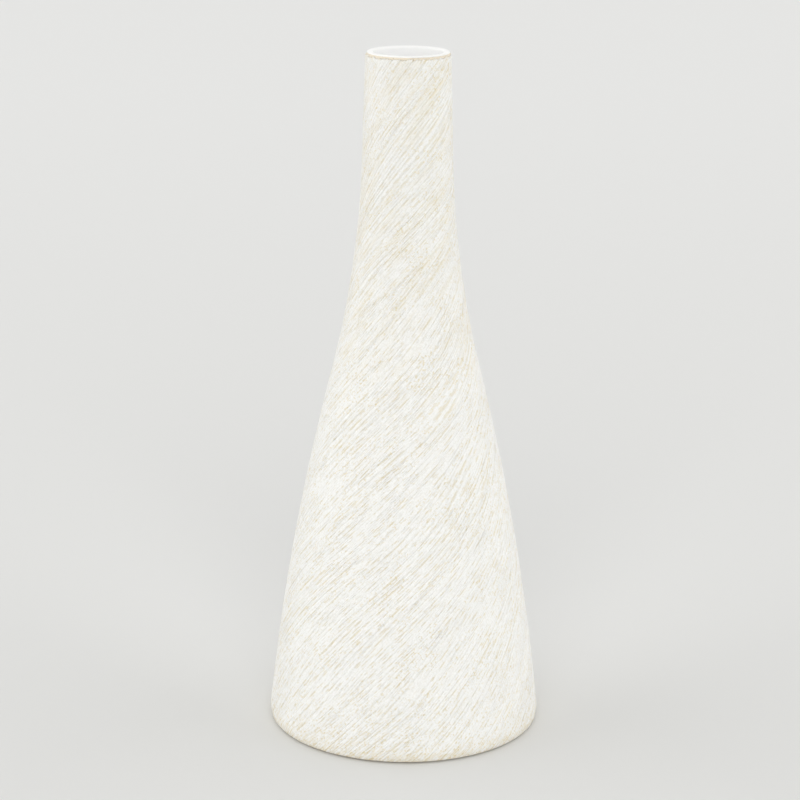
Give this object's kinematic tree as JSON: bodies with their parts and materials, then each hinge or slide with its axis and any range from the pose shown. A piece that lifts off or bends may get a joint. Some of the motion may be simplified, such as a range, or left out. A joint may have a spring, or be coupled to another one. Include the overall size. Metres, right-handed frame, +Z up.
{
  "type": "bottle vase",
  "caption": "Tall stoneware bottle vase with a narrow neck flaring to a wide foot, white combed slip outside, glazed mouth and inside, felt pads under the foot; holds stems.",
  "frame": {"origin": "on the axis of turning, at the height of the table that the pads stand on", "axes": "+Z up along the axis of turning, out of the mouth"},
  "size_m": [0.1846, 0.1846, 0.46],
  "materials": {
    "clay": "bare fired buff stoneware, matte",
    "slip": "combed white slip, matte",
    "glaze": "smooth white glaze, satin gloss",
    "felt": "pressed wool felt"
  },
  "bodies": {
    "root": {"clay_body": "clay", "combed_slip_coat": "slip", "liner_glaze": "glaze", "foot_pad_1": "felt", "foot_pad_2": "felt", "foot_pad_3": "felt", "foot_pad_4": "felt"}
  },
  "joints": []
}
